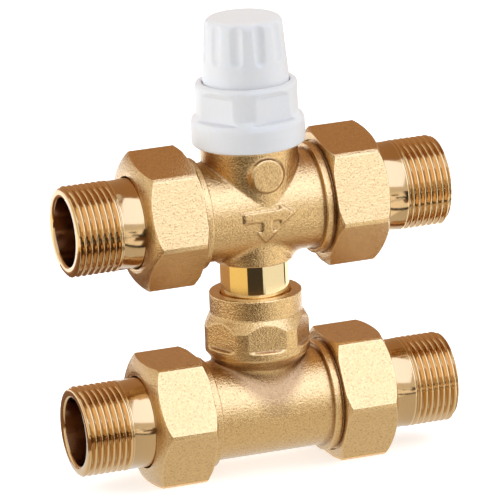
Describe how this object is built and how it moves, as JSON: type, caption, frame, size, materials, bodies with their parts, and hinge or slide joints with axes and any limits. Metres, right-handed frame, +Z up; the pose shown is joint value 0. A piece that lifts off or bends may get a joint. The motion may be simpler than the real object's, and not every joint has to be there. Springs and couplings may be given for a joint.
{
  "type": "three-way zone valve",
  "caption": "Brass three-way zone valve with a white hand knob, union ends and a telescopic bypass tee below it.",
  "frame": {"origin": "on the floor under the middle of the valve, with the lower nuts resting on Z = 0", "axes": "+X along both pipe lines towards the straight-way outlet, +Z up along the stem, -Y is the front with the flow arrow"},
  "size_m": [0.115, 0.0408, 0.1344],
  "materials": {
    "forged_brass": "sandblasted forging",
    "forged_brass_nut": "sandblasted forging",
    "machined_brass": "turned",
    "polished_brass": "polished",
    "white_plastic": "fine satin moulding",
    "black_rubber": "smooth",
    "fibre_seal": "matt fibre sheet",
    "stainless_steel": "drawn"
  },
  "bodies": {
    "tee": {"bypass_tee": "forged_brass", "lower_left_tailpiece": "machined_brass", "lower_right_tailpiece": "machined_brass", "lower_left_gasket": "fibre_seal", "lower_right_gasket": "fibre_seal"},
    "socket_seals": {"tee_o_ring_upper": "black_rubber", "tee_o_ring_lower": "black_rubber"},
    "valve": {"valve_body": "forged_brass", "bypass_sleeve": "polished_brass", "sleeve_o_ring": "black_rubber", "upper_left_tailpiece": "machined_brass", "upper_right_tailpiece": "machined_brass", "upper_left_gasket": "fibre_seal", "upper_right_gasket": "fibre_seal", "headwork": "machined_brass", "headwork_o_ring": "black_rubber", "gland_nut": "machined_brass", "stem_o_ring": "black_rubber", "return_spring": "stainless_steel", "cap_collar": "white_plastic"},
    "stem_set": {"stem": "stainless_steel", "valve_disc": "black_rubber", "disc_washer": "machined_brass", "disc_nut": "machined_brass", "spring_cup": "stainless_steel", "stem_clip": "stainless_steel"},
    "pusher": {"knob_pusher": "white_plastic"},
    "knob": {"control_knob": "white_plastic"},
    "upper_left_nut": {"upper_left_union_nut": "forged_brass_nut"},
    "upper_right_nut": {"upper_right_union_nut": "forged_brass_nut"},
    "lower_left_nut": {"lower_left_union_nut": "forged_brass_nut"},
    "lower_right_nut": {"lower_right_union_nut": "forged_brass_nut"}
  },
  "joints": [
    {"name": "valve_swivel", "type": "hinge", "parent": "tee", "child": "socket_seals", "pos_m": [0, 0, 0.045], "axis": [0, 0, 1], "continuous": true},
    {"name": "axis_distance", "type": "slide", "parent": "socket_seals", "child": "valve", "axis": [0, 0, 1], "range_m": [-0.008, 0.003]},
    {"name": "knob_turn", "type": "hinge", "parent": "pusher", "child": "knob", "pos_m": [0, 0, 0.12], "axis": [0, 0, -1], "range_deg": [0, 504]},
    {"name": "pusher_travel", "type": "slide", "parent": "valve", "child": "pusher", "axis": [0, 0, -1], "range_m": [0, 0.0035]},
    {"name": "stem_travel", "type": "slide", "parent": "valve", "child": "stem_set", "axis": [0, 0, -1], "range_m": [0, 0.0035], "deforming": ["return_spring"]},
    {"name": "upper_left_nut_turn", "type": "hinge", "parent": "valve", "child": "upper_left_nut", "pos_m": [-0.028, 0, 0.078], "axis": [-1, 0, 0], "continuous": true},
    {"name": "upper_right_nut_turn", "type": "hinge", "parent": "valve", "child": "upper_right_nut", "pos_m": [0.028, 0, 0.078], "axis": [1, 0, 0], "continuous": true},
    {"name": "lower_left_nut_turn", "type": "hinge", "parent": "tee", "child": "lower_left_nut", "pos_m": [-0.028, 0, 0.018], "axis": [-1, 0, 0], "continuous": true},
    {"name": "lower_right_nut_turn", "type": "hinge", "parent": "tee", "child": "lower_right_nut", "pos_m": [0.028, 0, 0.018], "axis": [1, 0, 0], "continuous": true}
  ],
  "couplings": [
    {"joint": "pusher_travel", "follows": "knob_turn", "m_per_rad": 0.00039788},
    {"joint": "stem_travel", "follows": "knob_turn", "m_per_rad": 0.00039788}
  ]
}
